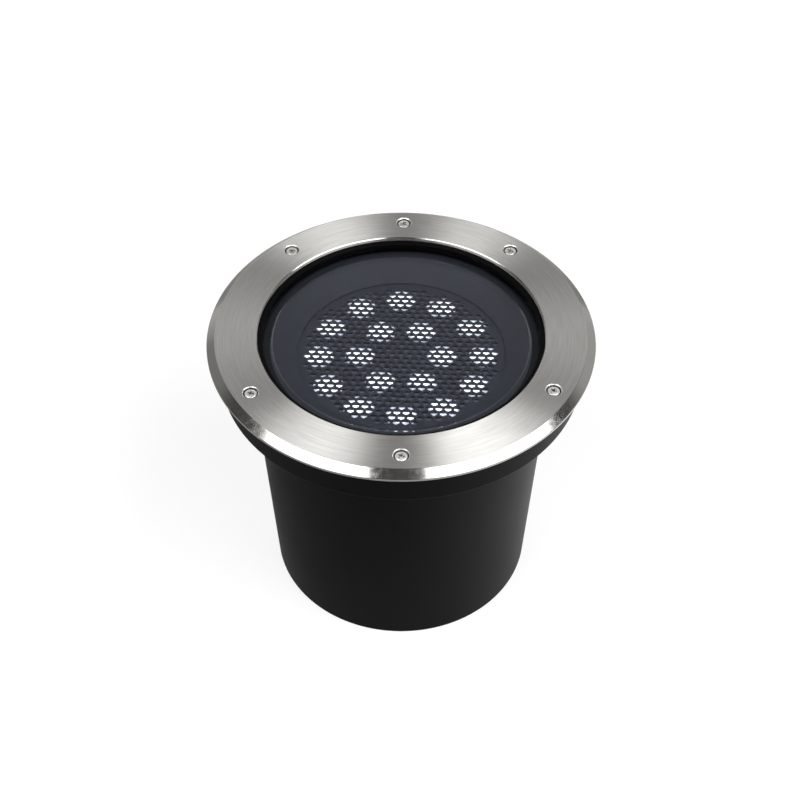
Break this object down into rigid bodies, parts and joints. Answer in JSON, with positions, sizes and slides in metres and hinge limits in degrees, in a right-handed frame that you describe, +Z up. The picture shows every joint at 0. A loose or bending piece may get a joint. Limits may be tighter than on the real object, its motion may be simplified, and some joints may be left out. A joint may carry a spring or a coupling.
{
  "type": "in ground well light",
  "caption": "Round recessed ground light: screwed steel trim ring over clear glass and a honeycomb louvre, in a lift-out lamp that stands in a tapered mounting sleeve.",
  "frame": {"origin": "centre of the mounting sleeve's underside", "axes": "+Z up out of the ground, towards the glass; -Y is the front"},
  "size_m": [0.26, 0.26, 0.212],
  "materials": {
    "trim_steel": "satin",
    "screw_steel": "polished",
    "zinc_screw": "satin",
    "sleeve_coat": "matte",
    "housing_coat": "matte",
    "clear_glass": "gloss",
    "black_silicone": "satin",
    "black_moulding": "satin",
    "clear_acrylic": "gloss",
    "white_board": "satin",
    "led_phosphor": "gloss",
    "thermal_sheet": "matte",
    "driver_case": "matte",
    "terminal_nylon": "satin",
    "red_wire": "satin",
    "black_wire": "satin",
    "brown_wire": "satin",
    "blue_wire": "satin",
    "green_yellow_wire": "satin",
    "gland_nylon": "satin"
  },
  "bodies": {
    "sleeve": {"sleeve_can": "sleeve_coat", "sleeve_rim": "sleeve_coat", "rim_seal": "black_silicone"},
    "lamp": {"lamp_housing": "housing_coat", "driver_housing": "housing_coat", "glass_lens": "clear_glass", "glass_gasket": "black_silicone", "baffle_ring": "black_moulding", "honeycomb_louvre": "black_moulding", "lens_carrier": "black_moulding", "lens_array": "clear_acrylic", "led_board": "white_board", "led_chips": "led_phosphor", "thermal_pad": "thermal_sheet", "board_screws": "zinc_screw", "led_driver": "driver_case", "driver_screws": "zinc_screw", "terminal_block": "terminal_nylon", "earth_screw": "zinc_screw", "lead_grommet": "black_silicone", "led_lead_positive": "red_wire", "led_lead_negative": "black_wire", "mains_lead_live": "brown_wire", "mains_lead_neutral": "blue_wire", "earth_lead": "green_yellow_wire", "bottom_cover": "housing_coat", "bottom_seal": "black_silicone", "bottom_screws": "screw_steel", "gland_body": "gland_nylon", "gland_locknut": "gland_nylon", "gland_seal": "black_silicone", "gland_nut": "gland_nylon", "breather_valve": "gland_nylon"},
    "trim": {"trim_ring": "trim_steel", "trim_screws": "screw_steel", "trim_screw_washers": "black_silicone"}
  },
  "joints": [
    {"name": "lamp_lift", "type": "slide", "parent": "sleeve", "child": "lamp", "axis": [0, 0, 1], "range_m": [0, 0.16]},
    {"name": "trim_lift", "type": "slide", "parent": "lamp", "child": "trim", "axis": [0, 0, 1], "range_m": [0, 0.05]}
  ]
}
